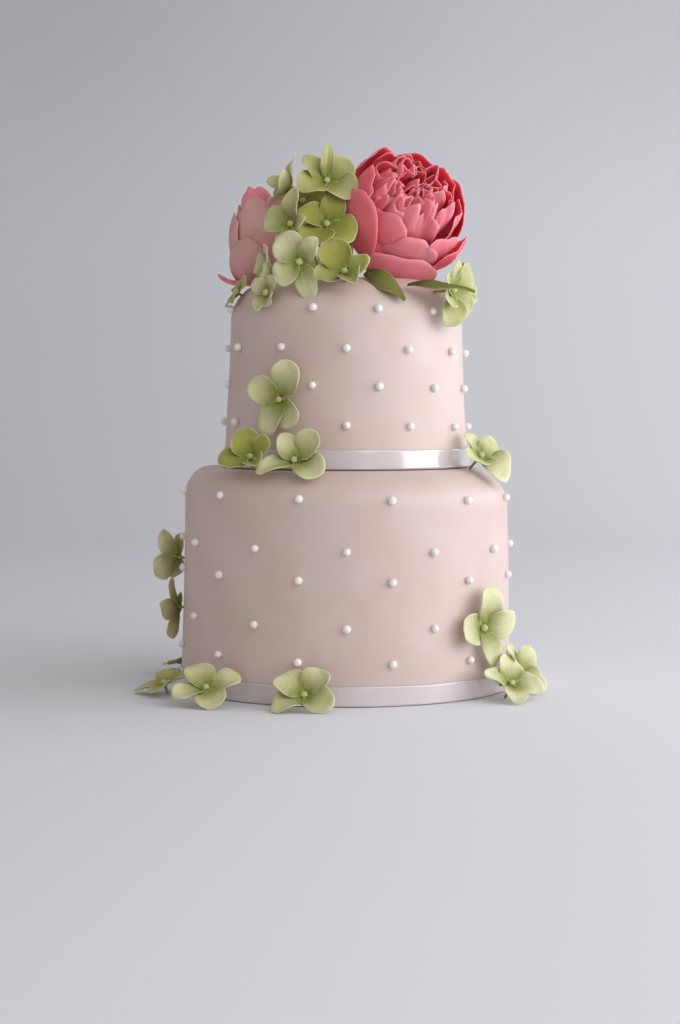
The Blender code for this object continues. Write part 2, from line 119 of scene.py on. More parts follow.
# Blossoms: azimuth, radius and height of the centre (degrees, mm), the way it faces (azimuth,
# elevation), its spin, its size, how leafy its green is from 0, cream, to 1, the lift of each
# petal where SHAPES doesn't give it, and the foot of its stem (x, y, z in mm) where the stem
# doesn't run straight back. TOP is the height at which stems enter the top of the cake
TOP = 253.0
BLOSSOMS = {
    "crown": (-25, 28.5, 313.5, 8, 42, -4, 1.15, 0.6, (), (-9, -5, TOP)),
    "crown_left": (-69, 38, 311, -80, 30, 0, 1.1, 0.4, (), (-14, -14, TOP)),
    "crown_back": (-99, 27, 304, -14, 34, 28, 1.2, 1.0, (22, 18, 20, 22), (-8, 0, TOP)),
    "upper_right": (-17, 41, 286, 0, 38, 8, 1.15, 1.0, (), (-8, -20, TOP)),
    "upper_left": (-38, 54, 286, -34, 22, 10, 1.1, 0.5, (), (-20, -26, TOP)),
    "front_left": (-23.5, 69.5, 262, -19, 0, -15, 1.18, 0.2, (), (-18, -40, TOP)),
    "front_right": (-1, 66, 255.5, -8, 38, -18, 1.15, 0.9, ()),
    "side_left": (-50.5, 60, 259, -84, 8, 20, 0.95, 0.1, (), (-34, -30, TOP)),
    "rim_left": (-41, 72.5, 244, -46, 6, 5, 0.75, 0.3, (15, 25, 20, 35)),
    "rim_far_left": (-74, 70, 246, -76, 34, 10, 0.72, 0.7, (10, 12, 10, 12)),
    "rim_right": (53, 80, 246, 50, 2, -10, 1.12, 0.6, ()),
    "rim_far_right": (76, 74, 251, 80, 24, 5, 1.0, 0.45, (25, 20, 15, 20)),
    "back": (172, 34, 288, 170, 28, 10, 1.2, 0.45, (20, 30, 20, 25), (2, 14, TOP)),
    "back_low": (-160, 62, 262, -160, 22, 30, 1.15, 0.45, (25, 15, 25, 20)),
    "top_side": (-30, 79.5, 180, -27, -2, 12, 1.32, 0.3, ()),
    "top_right": (128, 79.0, 221, 128, 0, 20, 1.0, 0.45, (15, 20, 15, 20)),
    "ledge_left": (-39, 91, 145, -12, 42, 0, 1.0, 1.0, ()),
    "ledge_front": (-19.8, 91, 143.5, -11, 50, -4, 1.1, 0.35, ()),
    "ledge_right": (66, 90, 145, 44, 42, 4, 1.05, 0.1, ()),
    "ledge_back": (160, 91, 145, 160, 40, 10, 1.15, 0.45, (22, 25, 16, 16)),
    # side_upper and side_lower have pale greens partly as painted light: they stand on the shaded
    # left side and are lightened in colour.
    "side_upper": (-97, 109, 79.5, -124, 6, 8, 1.2, 0.1, (25, 30, 25, 15)),
    "side_lower": (-92, 106.5, 48, -108, 0, 40, 1.15, 0.2, (22, 25, 20, 20)),
    "side_right": (49.5, 107.5, 43, 43, 4, 34, 1.25, 0.1, ()),
    "foot_right_back": (63, 118, 15, 52, 38, -12, 1.15, 0.1, (30, 34, 20, 20)),
    "foot_right": (52, 125, 9.8, 30, 54, 24, 1.2, 0.0, (23, 22, 20, 18)),
    "foot_front": (-12, 118, 8.4, -10, 54, 6, 1.22, 0.3, ()),
    "foot_left": (-40.5, 127, 10.0, -20, 62, -8, 1.25, 0.2, (8, 25, 15, 8)),
    "foot_far_left": (-64.5, 123, 6.5, -66, 68, 10, 1.1, 0.7, (14, 14, 12, 14)),
    "foot_back_left": (-118, 121, 6.0, -118, 72, 20, 1.0, 0.45, (14, 14, 12, 14)),
    "foot_back": (150, 120, 9.3, 150, 52, 0, 1.15, 0.45, (20, 22, 14, 20)),
}
# Petals of the blossoms that the front shows: turn, length, width, lift and, where there is
# one, fold. A fifth or sixth petal stands for a neighbour crowded in behind
SHAPES = {
    "crown": ((126, 1.05, 1.15, 24), (42, 1.12, 1.05, 25), (218, 1.1, 1.25, 20),
        (318, 1.1, 1.25, 20), (90, 1.2, 0.5, 44, 0.5)),
    "crown_left": ((0, 1, 1.1, 38), (90, 1.1, 0.8, 32, 0.2), (180, 0.95, 0.6, 70, 0.2),
        (268, 0.9, 0.7, 35, 0.2)),
    "upper_right": ((146, 1, 1.2, 30), (62, 1.1, 0.95, 28), (230, 1.1, 1.2, 14),
        (318, 1.1, 1.2, 16)),
    "upper_left": ((158, 1.1, 1.2, 18), (68, 1.15, 0.75, 38, 0.35), (252, 0.85, 1, 22),
        (345, 0.75, 0.9, 30)),
    "front_left": ((143, 1.05, 1.12, 18), (60, 0.95, 0.85, 28, 0.15), (232, 0.95, 1.05, 18),
        (306, 1.1, 0.9, 10)),
    "front_right": ((140, 1.24, 1, 24), (44, 0.85, 1.05, 24), (220, 1, 1.1, 20),
        (318, 0.95, 0.9, 34, 0.5)),
    "side_left": ((130, 1, 1, 45, 0.4), (50, 1, 1, 30), (225, 1, 1, 40, 0.5), (318, 1, 1, 30)),
    "top_side": ((56, 1.1, 0.9, 14), (138, 0.98, 0.9, 22), (233, 1.05, 1, 16),
        (296, 0.9, 0.95, 20)),
    "ledge_left": ((118, 1.1, 1.25, 34), (40, 1, 0.9, 40), (200, 1.15, 1.1, 14),
        (298, 1.15, 0.85, 34, 0.5)),
    "ledge_front": ((128, 0.95, 0.95, 40), (50, 1.15, 1, 38), (208, 1.2, 0.9, 8, 0.15),
        (328, 1.15, 1, 6, 0.1)),
    "ledge_right": ((100, 1, 1.15, 20), (20, 0.95, 1.1, 28), (200, 1, 1.1, 24),
        (295, 1.25, 1.2, 10)),
    "side_right": ((42, 1.2, 0.95, 20), (146, 1.05, 1.05, 16), (256, 1.15, 0.65, 14),
        (331, 1.1, 0.95, 26)),
    "rim_right": ((48, 1.15, 1, 15), (105, 0.95, 0.9, 30), (165, 0.9, 1, 34), (222, 0.9, 1, 34),
        (272, 1.25, 0.9, 10), (330, 1, 1, 12)),
    "foot_front": ((140, 1, 1.15, 26), (50, 1, 1.1, 30), (212, 1, 1.1, 12), (322, 1, 1.1, 12)),
}

# Peonies: the centre (mm) and the way it faces. Each petal has one side tucked in by PEONY_TUCK
# and the other out. A core, this far below the centre, closes the gaps
LARGE_PEONY = ((36.0, -17.0, 297.0), (26, 33))
PALE_PEONY = ((-49.0, 12.0, 282.7), (-110, 70))
PEONY_TUCK = 1.5 * MM
PEONY_CORE = 20 * MM
PEONY_CORE_DROP = 6 * MM
# Petals placed one by one: turn, then base, belly and tip of the middle line as (radius, height)
# from the flower's centre in mm, width, frill, depth of the teeth, and how red the outer and the
# inner face are
LARGE_PETALS = (
    (258, (6, -32), (54, -32), (38, 0), 56, 0.5, 0.03, 0.05, 0.6),
    (228, (6, -30), (50, -26), (32, 0), 36, 0.4, 0.02, 0.4, 0.6),
    (195, (6, -32), (54, -18), (34, 20), 46, 0.5, 0.03, 0.45, 0.7),
    (312, (6, -30), (50, -24), (41, 7), 44, 0.8, 0.03, 0.95, 1.0),
    (116, (6, -30), (48, -20), (36, 18), 40, 1.3, 0.04, 0.7, 0.8),
    (5, (6, -30), (50, -20), (35, 16), 44, 0.5, 0.03, 0.3, 0.9),
    (60, (6, -30), (48, -20), (35, 14), 44, 0.6, 0.03, 0.3, 0.9),
    (262, (6, -26), (47, -22), (33, 12), 40, 0.7, 0.04, 0.0, 0.7),
    (296, (6, -26), (47, -22), (34, 12), 38, 0.7, 0.04, 0.1, 0.8),
    (165, (6, -26), (46, -14), (30, 24), 37, 1.1, 0.04, 0.6, 0.7),
    (221, (6, -24), (46, -12), (27, 18), 42, 0.9, 0.05, 0.2, 0.6),
    (172, (5, -18), (42, -6), (17, 28), 34, 1.4, 0.05, 0.5, 0.75),
    (90, (5, -20), (42, -12), (30, 20), 36, 1.2, 0.08, 0.3, 0.8),
    (28, (5, -20), (42, -12), (30, 20), 36, 1.2, 0.08, 0.3, 0.8),
    (336, (5, -20), (42, -12), (30, 18), 36, 1.2, 0.08, 0.3, 0.8),
    (227, (5, -14), (36, -4), (19, 26), 30, 1.6, 0.1, 0.0, 0.7),
    (115, (3, -10), (24, 4), (12, 25), 22, 1.0, 0.06, 0.3, 0.6),
)
# Rings of ruffled petals: count and turn of the first, then as above
LARGE_RINGS = (
    (7, 12, (5, -18), (36, -8), (22, 24), 30, 2.6, 0.05, 0.1, 0.7),
    (6, 40, (4, -12), (28, 0), (15, 27), 27, 3.0, 0.05, 0.05, 0.7),
    (6, 10, (3, -6), (20, 8), (9.5, 26), 22, 3.0, 0.05, 0.1, 0.65),
    (4, 60, (2, 0), (12, 10), (4, 25), 16, 2.6, 0.05, 0.1, 0.6),
)
PALE_PETALS = (
    (322, (6, -28), (40, -28), (26, 2), 52, 0.4, 0.02, 0.1, 0.3),
    (30, (6, -28), (40, -28), (27, 4), 42, 0.4, 0.02, 0.15, 0.3),
    (290, (6, -26), (38, -24), (37, -12), 26, 0.5, 0.03, 0.9, 0.9),
    (0, (6, -24), (42, -12), (12, 26), 42, 0.5, 0.03, 0.0, 0.4),
    (285, (6, -24), (40, -12), (15, 22), 46, 0.4, 0.03, 0.05, 0.4),
    (75, (6, -24), (42, -16), (20, 18), 42, 0.5, 0.03, 0.05, 0.4),
    (135, (6, -26), (40, -22), (17, 11), 44, 0.4, 0.03, 0.1, 0.4),
    (200, (6, -26), (40, -22), (16, 12), 44, 0.4, 0.03, 0.1, 0.4),
    (248, (6, -26), (40, -22), (15, 14), 42, 0.4, 0.03, 0.1, 0.4),
    (12, (4, -10), (26, 0), (9, 33), 26, 0.8, 0.05, 0.9, 1.0),
)
PALE_RINGS = (
    (5, 160, (5, -16), (28, -8), (11, 25), 24, 1.2, 0.05, 0.5, 0.8),
    (4, 130, (3, -8), (18, 4), (6, 27), 16, 1.5, 0.06, 0.7, 1.0),
)

# Leaves: base, middle and tip (mm), width, roll of the blade at its base and tip in degrees.
# Then how far its sides wave and how deep its midrib is
LEAVES = {
    "front": ((12, -54, 257), (25, -63, 252), (35, -67.5, 239.2), 14.0 * MM, (50, 20)),
    "right": ((37, -58, 249), (55, -65, 251.5), (77, -64, 244.5), 9.0 * MM, (30, 30)),
    "back": ((8, 46, 257.5), (15, 60, 257.5), (20, 74, 245.5), 16.0 * MM, (10, 10)),
}
LEAF_WAVE = 0.8 * MM
LEAF_RIB = 0.3 * MM

# Lights: place, side of the square, power in watts and colour. They look at LIGHTS_AIM
LIGHTS = {
    "window": ((1.78, -0.42, 0.6), 1.6, 24.0, (0.93, 0.98, 1.04)),
    "far_window": ((2.4, 1.4, 0.9), 1.2, 17.0, (0.93, 0.97, 1.05)),
    "softbox": ((1.1, -1.6, 1.2), 1.5, 13.5, (0.95, 0.98, 1.02)),
}
LIGHTS_AIM = (0, 0, 0.15)
AMBIENT = (1.0, 0.97, 0.94)


def srgb(red, green, blue):
    """Screen values from 0 to 255 as linear light."""
    return tuple(
        c / 12.92 if c <= 0.04045 else ((c + 0.055) / 1.055) ** 2.4
        for c in (red / 255, green / 255, blue / 255)
    )


# Settings

def colour_setting(name, description, *screen):
    """A colour, its default in screen values."""
    return FloatVectorProperty(
        name=name, description=description, subtype="COLOR", default=srgb(*screen)
    )


def length_setting(name, description, default):
    """A length in metres."""
    return FloatProperty(name=name, description=description, default=default, unit="LENGTH")


class IcingSettings(bpy.types.PropertyGroup):
    colour: colour_setting("Icing", "Colour of the rolled icing", 215, 191, 184)
    shade: colour_setting("Icing shade", "Colour of its faint mottling", 210, 185, 177)
    unevenness: length_setting("Unevenness", "How far the side wanders in and out", 0.22 * MM)
    pearl_colour: colour_setting("Pearl", "Colour of the pearls", 252, 248, 240)
    pearl_radius: length_setting("Pearl radius", "Radius of a pearl", 2.45 * MM)
    seed: IntProperty(name="Seed", description="Seed of the pearls' unevenness", default=7)


class RibbonSettings(bpy.types.PropertyGroup):
    colour: colour_setting("Satin", "Colour of the satin", 214, 202, 204)
    thread: length_setting("Thread", "Width of one lying thread", 0.25 * MM)


class BlossomSettings(bpy.types.PropertyGroup):
    deep: colour_setting("Throat", "Colour at the middle of a blossom", 130, 138, 50)
    body: colour_setting("Petal", "Colour of the palest petals", 226, 223, 180)
    leafy: colour_setting("Leafy petal", "Colour of the greenest petals", 164, 163, 80)
    rim: colour_setting("Edge", "Colour of the petals' thin edges", 230, 233, 196)
    thickness: length_setting("Thickness", "Thickness of the sugar sheet", 0.8 * MM)
    button: length_setting("Button", "Radius of the ball in the middle", 2.1 * MM)
    seed: IntProperty(name="Seed", description="Seed of the petals' unevenness", default=4)


class PeonySettings(bpy.types.PropertyGroup):
    deep: colour_setting("Depth", "Colour deep between the petals", 232, 58, 76)
    red: colour_setting("Inner face", "Colour of the ruffles' inner faces", 238, 86, 104)
    body: colour_setting("Petal", "Colour of the outer petals", 247, 142, 154)
    # The pale edges are partly the petals' own paler colour and partly a painted glow, for light
    # shining through the thin sugar.
    rim: colour_setting("Edge", "Colour of the petals' edges", 250, 172, 180)
    pale_body: colour_setting("Pale petal", "Colour of the pale flower", 221, 169, 165)
    thickness: length_setting("Thickness", "Thickness of a petal", 1.1 * MM)
    seed: IntProperty(name="Seed", description="Seed of the petals' unevenness", default=11)


class LeafSettings(bpy.types.PropertyGroup):
    # The midrib and blade colours are partly the leaves' own dark olive and partly painted shade,
    # darkened for the shade the leaves lie in.
    deep: colour_setting("Midrib", "Colour along the veins", 78, 78, 30)
    body: colour_setting("Leaf", "Colour of the blade", 122, 122, 56)
    rim: colour_setting("Edge", "Colour of the blade's edge", 170, 172, 106)
    thickness: length_setting("Thickness", "Thickness of the blade", 0.8 * MM)


class StageSettings(bpy.types.PropertyGroup):
    distance: length_setting("Distance", "From the camera to the cake's axis", 1.25)
    aside: length_setting("Aside", "How far right of the axis the camera is", -3.86 * MM)
    height: length_setting("Height", "Height of the camera", 0.178)
    pitch: FloatProperty(
        name="Pitch", description="How far the camera looks down",
        default=math.radians(3.17), subtype="ANGLE",
    )
    lens: FloatProperty(name="Lens", description="Focal length in millimetres", default=69.43)
    floor: colour_setting("Floor", "Colour of the floor", 225, 226, 231)
    ambient: FloatProperty(
        name="Ambient", description="Strength of the light from all round", default=0.46
    )


class CakeSettings(bpy.types.PropertyGroup):
    icing: PointerProperty(type=IcingSettings)
    ribbon: PointerProperty(type=RibbonSettings)
    blossom: PointerProperty(type=BlossomSettings)
    peony: PointerProperty(type=PeonySettings)
    leaf: PointerProperty(type=LeafSettings)
    stage: PointerProperty(type=StageSettings)


# Places

def around(azimuth, radius, height):
    """The point at this azimuth (degrees), distance from the cake's axis and height."""
    turn = math.radians(azimuth)
    return Vector((radius * math.sin(turn), -radius * math.cos(turn), height))


def facing(azimuth, elevation, spin=0.0):
    """A rotation whose Z looks towards azimuth and elevation, turned by spin about it."""
    az, el = math.radians(azimuth), math.radians(elevation)
    out = Vector((math.sin(az) * math.cos(el), -math.cos(az) * math.cos(el), math.sin(el)))
    right = Vector((math.cos(az), math.sin(az), 0.0))
    turned = Matrix((right, out.cross(right), out)).transposed()
    return turned @ Matrix.Rotation(math.radians(spin), 3, "Z")


def side_radius(tier, height):
    """The radius of the iced side at a height, and how far its face looks upwards."""
    base, top, base_radius, neck_radius, shoulder = tier
    shoulder_base = top - shoulder
    if height > shoulder_base:
        rise = math.asin(min((height - shoulder_base) / shoulder, 1.0))
        return neck_radius - shoulder + shoulder * math.cos(rise), rise
    share = 1.0 - (height - base) / (shoulder_base - base)
    return neck_radius + (base_radius - neck_radius) * share**FLARE_POWER, 0.0


def smooth(low, high, value):
    """0 below low, 1 above high and a smooth rise between."""
    share = np.clip((value - low) / (high - low), 0.0, 1.0)
    return share * share * (3.0 - 2.0 * share)


def placed(solid, rotation, centre):
    """A solid turned by a rotation and moved to a centre."""
    vertices, faces = solid
    return vertices @ np.array(rotation.transposed()) + np.array(centre), faces


# Meshes

def petal_fan(rows, columns, spread, drop, fall, point=0.0, notch=0.0):
    """A grid over a petal of length 1: along, across, and how far from its free edge."""
    t = np.linspace(0.08, 1, rows)[:, None]
    s = np.linspace(-1, 1, columns)[None, :]
    reach = 1 - drop * np.abs(s) ** fall - point * np.abs(s) - notch
    angle = s * spread
    edge = np.minimum((1 - t) * reach, (1 - np.abs(s)) * spread * t * reach)
    return t * reach * np.cos(angle), t * reach * np.sin(angle), edge


def sheet_solid(points, thickness):
    """Vertices and faces of a thin closed solid round a grid of points."""
    rows, columns = points.shape[:2]
    normal = sheet_normal(points)
    half = normal * thickness[..., None] / 2
    index = np.arange(rows * columns).reshape(rows, columns)
    front = np.stack(
        (index[:-1, :-1], index[:-1, 1:], index[1:, 1:], index[1:, :-1]), axis=-1
    ).reshape(-1, 4)
    loop = np.concatenate((index[0, :-1], index[:-1, -1], index[-1, :0:-1], index[:0:-1, 0]))
    after = np.roll(loop, -1)
    behind = rows * columns
    rim = np.stack((after, loop, loop + behind, after + behind), axis=-1)
    vertices = np.concatenate((points + half, points - half)).reshape(-1, 3)
    return vertices, np.concatenate((front, front[:, ::-1] + behind, rim)).tolist()


def sheet_normal(points):
    """The unit normal at each point of a grid."""
    normal = np.cross(np.gradient(points, axis=1), np.gradient(points, axis=0))
    return normal / np.linalg.norm(normal, axis=2, keepdims=True)


def sheet_places(across, along, edge, outer=0.0, inner=0.0):
    """For both faces of a sheet: where each point is, and how deep its colour."""
    grid = np.broadcast_arrays(across, along, edge)
    place = np.stack(grid, axis=-1).reshape(-1, 3)
    tone = np.concatenate((np.full(len(place), outer), np.full(len(place), inner)))
    return np.concatenate((place, place)), tone


def wrapped_solid(rings, first, last):
    """Vertices and faces of a closed solid from rings of points, with a point at each end."""
    rows, columns = rings.shape[:2]
    index = np.arange(rows * columns).reshape(rows, columns)
    after = np.roll(index, -1, axis=1)
    quads = np.stack((index[:-1], index[1:], after[1:], after[:-1]), axis=-1).reshape(-1, 4)
    tip, tail = rows * columns, rows * columns + 1
    caps = [(tip, a, b) for a, b in zip(index[0].tolist(), after[0].tolist())]
    caps += [(tail, b, a) for a, b in zip(index[-1].tolist(), after[-1].tolist())]
    vertices = np.concatenate((rings.reshape(-1, 3), [first], [last]))
    return vertices, quads.tolist() + caps


def ball(centre, radius, segments=20, rings=11, squash=1.0):
    """A ball, flattened along Z by squash."""
    polar = np.linspace(0, math.pi, rings + 2)[1:-1, None]
    turn = np.linspace(0, 2 * math.pi, segments, endpoint=False)[None, :]
    shape = np.stack((
        np.sin(polar) * np.cos(turn), np.sin(polar) * np.sin(turn),
        squash * np.cos(polar) * np.ones_like(turn),
    ), axis=-1) * radius
    pole = np.array((0, 0, squash * radius))
    vertices, faces = wrapped_solid(shape, pole, -pole)
    return vertices + np.array(centre), faces


class Piece:
    """Gathers the solids of one mesh, and the place and tone that its material reads."""

    def __init__(self):
        self.vertices, self.faces, self.slots = [], [], []
        self.places, self.tones = [], []
        self.count = 0

    def add(self, solid, place=(0, 0, 1), tone=0.0, slot=0):
        """Adds one closed solid."""
        vertices, faces = solid
        self.vertices.append(vertices)
        self.places.append(np.broadcast_to(place, vertices.shape))
        self.tones.append(np.broadcast_to(tone, len(vertices)))
        self.faces += [[corner + self.count for corner in face] for face in faces]
        self.slots += [slot] * len(faces)
        self.count += len(vertices)

    def finish(self, name, materials, slot, *nodes):
        """Makes the object, which rides with the cake and stands for these nodes."""
        mesh = bpy.data.meshes.new(name)
        mesh.from_pydata(np.concatenate(self.vertices).tolist(), [], self.faces)
        place = mesh.attributes.new("place", "FLOAT_VECTOR", "POINT")
        place.data.foreach_set("vector", np.concatenate(self.places).astype(np.float32).ravel())
        tone = mesh.attributes.new("tone", "FLOAT", "POINT")
        tone.data.foreach_set("value", np.concatenate(self.tones).astype(np.float32))
        for material in materials:
            mesh.materials.append(material)
        mesh.polygons.foreach_set("material_index", self.slots)
        mesh.shade_smooth()
        obj = bpy.data.objects.new(name, mesh)
        bpy.context.scene.collection.objects.link(obj)
        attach(obj, BODY)
        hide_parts(*nodes)


# Shader helpers

def add_node(tree, kind, values=(), **settings):
    """A shader node, its inputs set to values or linked to other nodes' sockets."""
    node = tree.nodes.new("ShaderNode" + kind)
    for key, value in settings.items():
        setattr(node, key, value)
    for key, value in dict(values).items():
        if isinstance(value, bpy.types.NodeSocket):
            tree.links.new(value, node.inputs[key])
        else:
            node.inputs[key].default_value = value
    return node


def reckon(tree, operation, first, second=0.0, clamp=False):
    """The result of a Math node."""
    values = {0: first, 1: second}
    return add_node(tree, "Math", values, operation=operation, use_clamp=clamp).outputs[0]


def blend(tree, factor, first, second, mode="MIX"):
    """A mix of two colours. The mix node's colour sockets are its seventh and eighth."""
    values = {0: factor, 6: first, 7: second}
    return add_node(tree, "Mix", values, data_type="RGBA", blend_type=mode).outputs[2]


def ramp(tree, value, low, high, first=0.0, second=1.0):
    """A smooth step from first to second as value goes from low to high."""
    values = dict(enumerate((value, low, high, first, second)))
    return add_node(tree, "MapRange", values, interpolation_type="SMOOTHSTEP").outputs["Result"]


def noise(tree, vector, scale, detail=2.0):
    """Noise from 0 to 1."""
    values = {"Vector": vector, "Scale": scale, "Detail": detail}
    return add_node(tree, "TexNoise", values).outputs["Fac"]


def rgba(colour):
    """A colour with full opacity."""
    return (*colour, 1.0)


def new_group(name, inputs, outputs):
    """A shader node group with its sockets, its input node and its output node."""
    tree = bpy.data.node_groups.new(name, "ShaderNodeTree")
    for way, sockets in (("INPUT", inputs), ("OUTPUT", outputs)):
        for label, kind in sockets.items():
            tree.interface.new_socket(label, in_out=way, socket_type="NodeSocket" + kind)
    return tree, tree.nodes.new("NodeGroupInput").outputs, tree.nodes.new("NodeGroupOutput").inputs


def use_group(tree, group, values):
    """The outputs of a node group used in a tree."""
    return add_node(tree, "Group", values, node_tree=group).outputs


def new_material(name, roughness, **sockets):
    """A material with a Principled shader, and its tree and shader."""
    material = bpy.data.materials.new(name)
    material.use_nodes = True
    tree = material.node_tree
    shader = tree.nodes["Principled BSDF"]
    shader.inputs["Roughness"].default_value = roughness
    for label, value in sockets.items():
        shader.inputs[label.replace("_", " ")].default_value = value
    return material, tree, shader


def dress(tree, shader, colour, height, strength, distance):
    """Gives a shader its colour and a fine relief."""
    values = {"Height": height, "Strength": strength, "Distance": distance}
    relief = add_node(tree, "Bump", values)
    tree.links.new(colour, shader.inputs["Base Color"])
    tree.links.new(relief.outputs["Normal"], shader.inputs["Normal"])


# Shared effects

def sugar_grain_group():
    """Fine grain of dried sugar paste, and a soft mottling over some centimetres."""
    if "sugar_grain" in bpy.data.node_groups:
        return bpy.data.node_groups["sugar_grain"]
    tree, given, out = new_group(
        "sugar_grain", dict.fromkeys(("Grain", "Patch"), "Float"),
        dict.fromkeys(("Height", "Mottle"), "Float"),
    )
    place = add_node(tree, "TexCoord").outputs["Object"]
    fine = noise(tree, place, given["Grain"], 4.0)
    broad = noise(tree, place, given["Patch"], 3.0)
    tree.links.new(fine, out["Height"])
    tree.links.new(ramp(tree, broad, 0.35, 0.65), out["Mottle"])
    return tree


def petal_tint_group():
    """Colour of a sugar petal: deep at its base, pale at its thin rim, faintly veined."""
    if "petal_tint" in bpy.data.node_groups:
        return bpy.data.node_groups["petal_tint"]
    tree, given, out = new_group(
        "petal_tint",
        dict.fromkeys(("Deep", "Body", "Second", "Rim"), "Color") | dict.fromkeys(
            ("Deep Reach", "Rim Width", "Rim Amount", "Veins", "Vein Amount"), "Float"
        ),
        {"Colour": "Color", "Height": "Float"},
    )
    place = add_node(tree, "Attribute", attribute_name="place").outputs["Vector"]
    tone = add_node(tree, "Attribute", attribute_name="tone").outputs["Fac"]
    across, along, edge = add_node(tree, "SeparateXYZ", {0: place}).outputs
    spot = add_node(tree, "TexCoord").outputs["Object"]
    wander = reckon(tree, "SUBTRACT", noise(tree, spot, 220.0), 0.5)
    uneven = reckon(tree, "MULTIPLY", wander, 0.25)
    widened = reckon(tree, "MULTIPLY", given["Rim Width"], reckon(tree, "ADD", 1.0, wander))
    rim = ramp(tree, reckon(tree, "DIVIDE", edge, widened), 0.1, 1.0, 1.0, 0.0)
    rim = reckon(tree, "MULTIPLY", rim, given["Rim Amount"], True)
    far = reckon(tree, "ADD", along, uneven)
    deep = ramp(tree, far, 0.05, given["Deep Reach"], 1.0, 0.0)
    ray = reckon(tree, "MULTIPLY", reckon(tree, "ADD", across, uneven), given["Veins"])
    vein = reckon(tree, "POWER", reckon(tree, "ABSOLUTE", reckon(tree, "COSINE", ray)), 5.0)
    vein = reckon(tree, "MULTIPLY", vein, ramp(tree, along, 0.1, 0.95, 1.0, 0.1))
    vein = reckon(tree, "MULTIPLY", vein, given["Vein Amount"])
    second = reckon(tree, "ADD", tone, reckon(tree, "MULTIPLY", wander, 0.3), True)
    colour = blend(tree, second, given["Body"], given["Second"])
    colour = blend(tree, deep, colour, given["Deep"])
    colour = blend(tree, vein, colour, given["Deep"])
    colour = blend(tree, rim, colour, given["Rim"])
    tree.links.new(colour, out["Colour"])
    tree.links.new(reckon(tree, "SUBTRACT", 1.0, vein), out["Height"])
    return tree


def icing_material(settings):
    """Rolled icing: a silky sugar skin, faintly mottled."""
    material, tree, shader = new_material("rolled_icing", 0.62, Specular_IOR_Level=0.9)
    grain = use_group(tree, sugar_grain_group(), {"Grain": 1400.0, "Patch": 28.0})
    colour = blend(tree, grain["Mottle"], rgba(settings.colour), rgba(settings.shade))
    tree.links.new(ramp(tree, grain["Height"], 0.2, 0.8, 0.44, 0.6), shader.inputs["Roughness"])
    dress(tree, shader, colour, grain["Height"], 0.12, 0.3 * MM)
    return material


def pearl_material(settings):
    """A pearl of polished sugar."""
    material, tree, shader = new_material("sugar_pearl", 0.3, Coat_Weight=0.35)
    grain = use_group(tree, sugar_grain_group(), {"Grain": 900.0, "Patch": 90.0})
    warm = rgba([c * 0.9 for c in settings.pearl_colour])
    colour = blend(tree, grain["Mottle"], rgba(settings.pearl_colour), warm)
    dress(tree, shader, colour, grain["Height"], 0.15, 0.2 * MM)
    return material


def satin_material(settings):
    """Woven satin: threads that lie round the cake, each catching the light a little apart, with
    painted shade on the darker threads.
    """
    material, tree, shader = new_material(
        "satin_ribbon", 0.34, Coat_Weight=1.0, Coat_Roughness=0.14, Coat_IOR=1.9
    )
    place = add_node(tree, "Attribute", attribute_name="place").outputs["Vector"]
    stretch = (30.0, 1.0 / settings.thread, 1.0)
    spot = add_node(
        tree, "VectorMath", {0: place, 1: stretch}, operation="MULTIPLY"
    ).outputs["Vector"]
    thread = noise(tree, spot, 1.0, 3.0)
    # Painted shade: some threads are a little darker in colour, as if they caught less light.
    painted_thread_shade = rgba([c * 0.97 for c in settings.colour])
    colour = blend(tree, ramp(tree, thread, 0.3, 0.7), painted_thread_shade, rgba(settings.colour))
    tree.links.new(ramp(tree, thread, 0.2, 0.8, 0.3, 0.38), shader.inputs["Roughness"])
    dress(tree, shader, colour, thread, 0.05, 0.1 * MM)
    return material


def petal_material(name, deep, body, second, rim, glow=0.0, **tint):
    """Sugar paste for a petal, a button or a leaf. Glow is how far light soaks through it."""
    material, tree, shader = new_material(
        name, 0.62, Specular_IOR_Level=0.3, Subsurface_Weight=glow, Subsurface_Scale=3.0 * MM,
        Subsurface_Radius=(1.0, 0.4, 0.4),
    )
    grain = use_group(tree, sugar_grain_group(), {"Grain": 1100.0, "Patch": 70.0})
    values = {
        "Deep": rgba(deep), "Body": rgba(body), "Second": rgba(second), "Rim": rgba(rim),
        "Deep Reach": 0.5, "Rim Width": 1.0 * MM, "Rim Amount": 0.7, "Veins": 10.0,
        "Vein Amount": 0.12,
    }
    values.update({key.replace("_", " ").title(): value for key, value in tint.items()})
    petal = use_group(tree, petal_tint_group(), values)
    shade = blend(tree, grain["Mottle"], (1, 1, 1, 1), (0.94, 0.95, 0.92, 1))
    colour = blend(tree, 1.0, petal["Colour"], shade, "MULTIPLY")
    height = reckon(tree, "ADD", petal["Height"], reckon(tree, "MULTIPLY", grain["Height"], 0.4))
    dress(tree, shader, colour, height, 0.3, 0.4 * MM)
    return material


# The tiers, with their pearls

def shoulder_lean(tier, x, radius):
    """How far the bottom tier's shoulder stands above or below level."""
    if tier is not BOTTOM_TIER:
        return 0.0 * radius
    return -SHOULDER_LEAN * x * smooth(*LEAN_RADII, radius)


